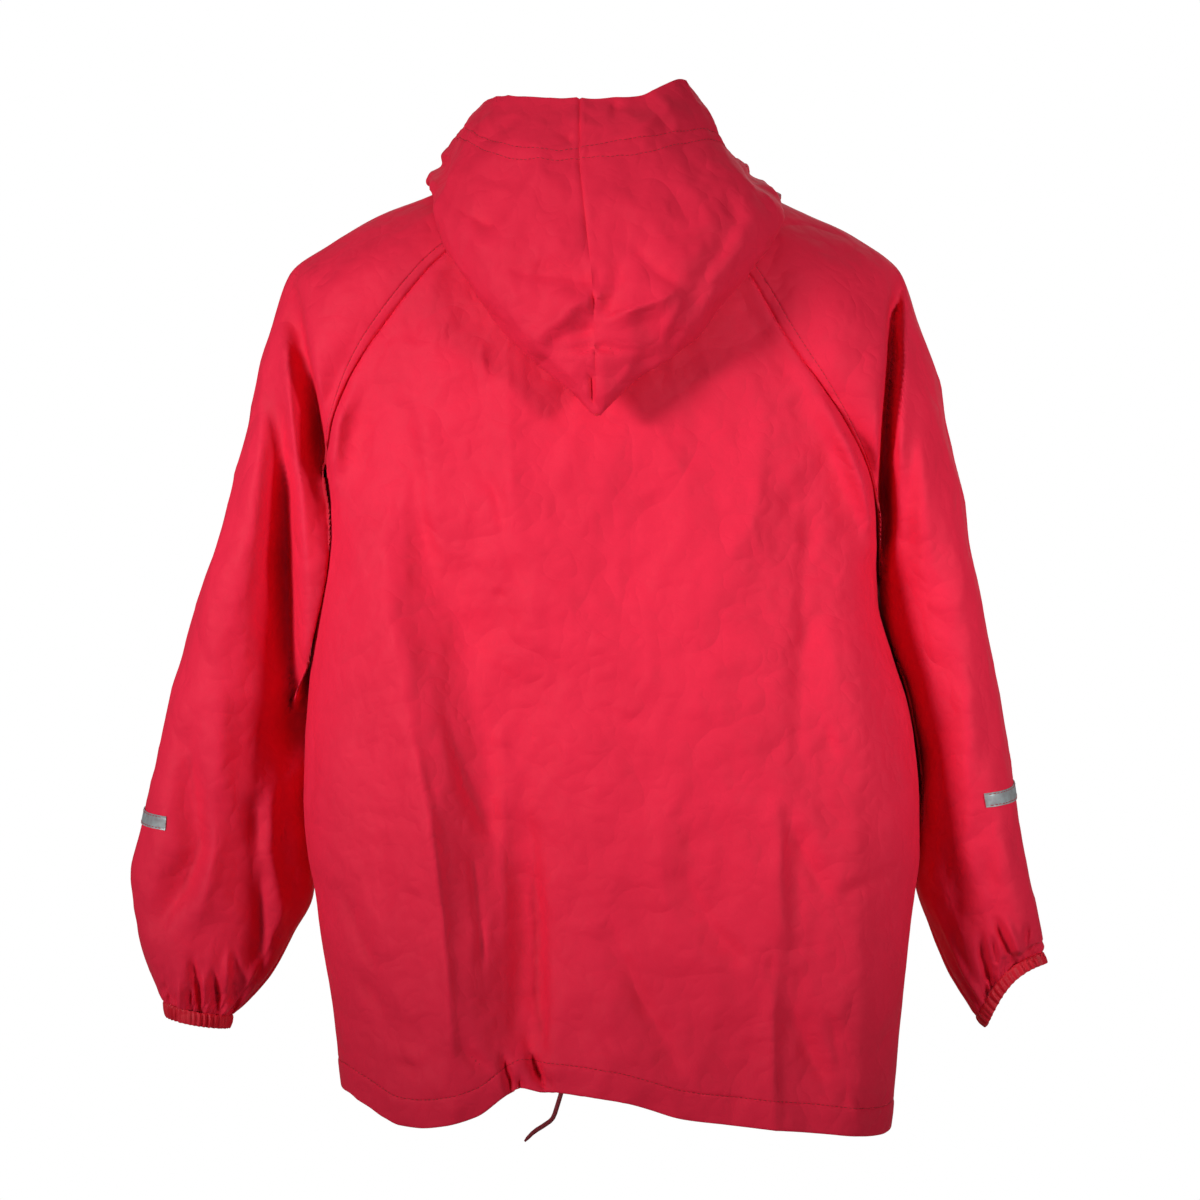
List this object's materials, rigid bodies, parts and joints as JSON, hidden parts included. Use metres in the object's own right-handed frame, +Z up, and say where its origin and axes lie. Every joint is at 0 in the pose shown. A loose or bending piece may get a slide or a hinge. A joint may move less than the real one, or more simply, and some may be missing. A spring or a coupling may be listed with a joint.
{
  "type": "kids rain jacket",
  "caption": "Hollow rain jacket in its worn form, arms hanging, with raglan sleeves, gathered cuffs, a hood thrown back, a storm flap in front and a hem drawstring",
  "frame": {"origin": "where the shoulders carry the jacket, in the middle of the neck opening, level with the outer shoulder line's upper part", "axes": "+Z up, +Y the wearer's front, +X the wearer's right"},
  "size_m": [0.649, 0.2977, 0.7273],
  "materials": {
    "shell": "matte coated red fabric with a fine grain",
    "cuff": "the same coated fabric, ruffled over elastic",
    "reflective": "grey reflective tape",
    "stud": "dark red press stud caps",
    "cord": "dark red braided cord"
  },
  "bodies": {
    "root": {"back": "shell", "front_left": "shell", "front_right": "shell", "sleeve_left_upper": "shell", "sleeve_left_lower": "shell", "sleeve_right_upper": "shell", "sleeve_right_lower": "shell", "hood_left": "shell", "hood_right": "shell", "storm_flap": "shell", "cuff_left": "cuff", "cuff_right": "cuff", "reflective_strip_left": "reflective", "reflective_strip_right": "reflective", "press_stud_1": "stud", "press_stud_2": "stud", "press_stud_3": "stud", "press_stud_4": "stud", "press_stud_5": "stud", "hem_drawstring": "cord"}
  },
  "joints": []
}
